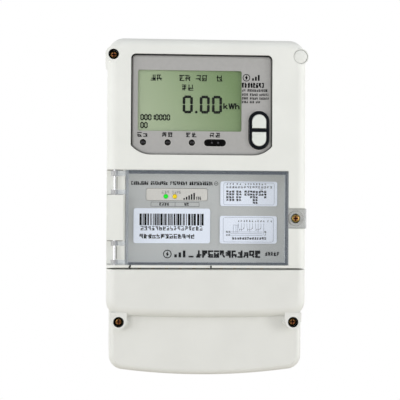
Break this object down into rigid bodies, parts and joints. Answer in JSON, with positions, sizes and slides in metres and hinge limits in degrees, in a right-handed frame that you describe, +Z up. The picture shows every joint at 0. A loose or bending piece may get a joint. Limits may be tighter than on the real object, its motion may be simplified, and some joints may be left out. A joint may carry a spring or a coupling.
{
  "type": "prepaid electricity meter",
  "caption": "Wall-hung polyphase prepaid electricity meter: moulded housing with display and keys, clear hinged sealing door over a nameplate, and a screwed terminal cover.",
  "frame": {"origin": "middle of the back mounting face that lies on the wall", "axes": "+Z up, -Y towards the person reading the display, +X to the reader's right"},
  "size_m": [0.1696, 0.082, 0.28],
  "materials": {
    "white_plastic": "satin moulded",
    "cover_plastic": "satin moulded",
    "grey_plate": "matt printed",
    "nameplate_grey": "matt printed",
    "label": "printed film",
    "clear_plastic": "clear polished",
    "lcd": "gloss",
    "diffuser": "milky",
    "black_gloss": "gloss",
    "phenolic": "satin",
    "rubber": "matt",
    "brass": "machined",
    "yellow_zinc": "yellow passivated",
    "steel": "bright",
    "board": "solder mask",
    "winding": "tape wrapped",
    "battery": "shrink sleeve",
    "beige": "satin",
    "lamp_green": "translucent",
    "lamp_yellow": "translucent",
    "aux_green": "satin"
  },
  "bodies": {
    "housing": {"auxiliary_terminals": "aux_green", "backup_battery": "battery", "barcode_label": "label", "blank_cap": "white_plastic", "communication_module": "phenolic", "current_transformer_1": "winding", "current_transformer_2": "winding", "current_transformer_3": "winding", "display_board": "board", "display_faceplate": "grey_plate", "display_window": "clear_plastic", "door_screw_insert": "brass", "front_housing": "white_plastic", "hinge_rod_lower": "steel", "hinge_rod_upper": "steel", "housing_gasket": "rubber", "housing_screw": "yellow_zinc", "infrared_window": "black_gloss", "key_surround": "black_gloss", "lcd_backlight": "diffuser", "lcd_panel": "lcd", "led_active": "black_gloss", "led_reactive": "black_gloss", "led_trip": "black_gloss", "main_board": "board", "module_lamp_green": "lamp_green", "module_lamp_yellow": "lamp_yellow", "module_window": "beige", "nameplate": "nameplate_grey", "pinout_label": "label", "power_transformer": "winding", "rear_base": "white_plastic", "switch_lower": "black_gloss", "switch_upper": "black_gloss", "terminal_1": "brass", "terminal_10": "brass", "terminal_2": "brass", "terminal_3": "brass", "terminal_4": "brass", "terminal_5": "brass", "terminal_6": "brass", "terminal_7": "brass", "terminal_8": "brass", "terminal_9": "brass", "terminal_block": "phenolic", "wiring_label": "label"},
    "door_body": {"door": "clear_plastic"},
    "door_screw_body": {"door_screw": "yellow_zinc"},
    "terminal_cover_body": {"terminal_cover": "cover_plastic"},
    "cover_screw_left_body": {"cover_screw_left": "yellow_zinc"},
    "cover_screw_right_body": {"cover_screw_right": "yellow_zinc"},
    "key_upper_body": {"key_upper": "white_plastic"},
    "key_lower_body": {"key_lower": "white_plastic"},
    "hanging_hook_body": {"hanging_hook": "steel"}
  },
  "joints": [
    {"name": "door_hinge", "type": "hinge", "parent": "housing", "child": "door_body", "pos_m": [-0.0765, -0.076, -0.0094], "axis": [0, 0, -1], "range_deg": [0, 120]},
    {"name": "door_screw_out", "type": "slide", "parent": "door_body", "child": "door_screw_body", "axis": [0, -1, 0], "range_m": [0, 0.005]},
    {"name": "terminal_cover_off", "type": "slide", "parent": "housing", "child": "terminal_cover_body", "axis": [0, -1, 0], "range_m": [0, 0.06]},
    {"name": "cover_screw_left_out", "type": "slide", "parent": "terminal_cover_body", "child": "cover_screw_left_body", "axis": [0, -1, 0], "range_m": [0, 0.006]},
    {"name": "cover_screw_right_out", "type": "slide", "parent": "terminal_cover_body", "child": "cover_screw_right_body", "axis": [0, -1, 0], "range_m": [0, 0.006]},
    {"name": "key_upper_press", "type": "slide", "parent": "housing", "child": "key_upper_body", "axis": [0, 1, 0], "range_m": [0, 0.001], "stiffness_N_per_m": 600},
    {"name": "key_lower_press", "type": "slide", "parent": "housing", "child": "key_lower_body", "axis": [0, 1, 0], "range_m": [0, 0.001], "stiffness_N_per_m": 600},
    {"name": "hook_slide", "type": "slide", "parent": "housing", "child": "hanging_hook_body", "axis": [0, 0, 1], "range_m": [0, 0.014]}
  ]
}
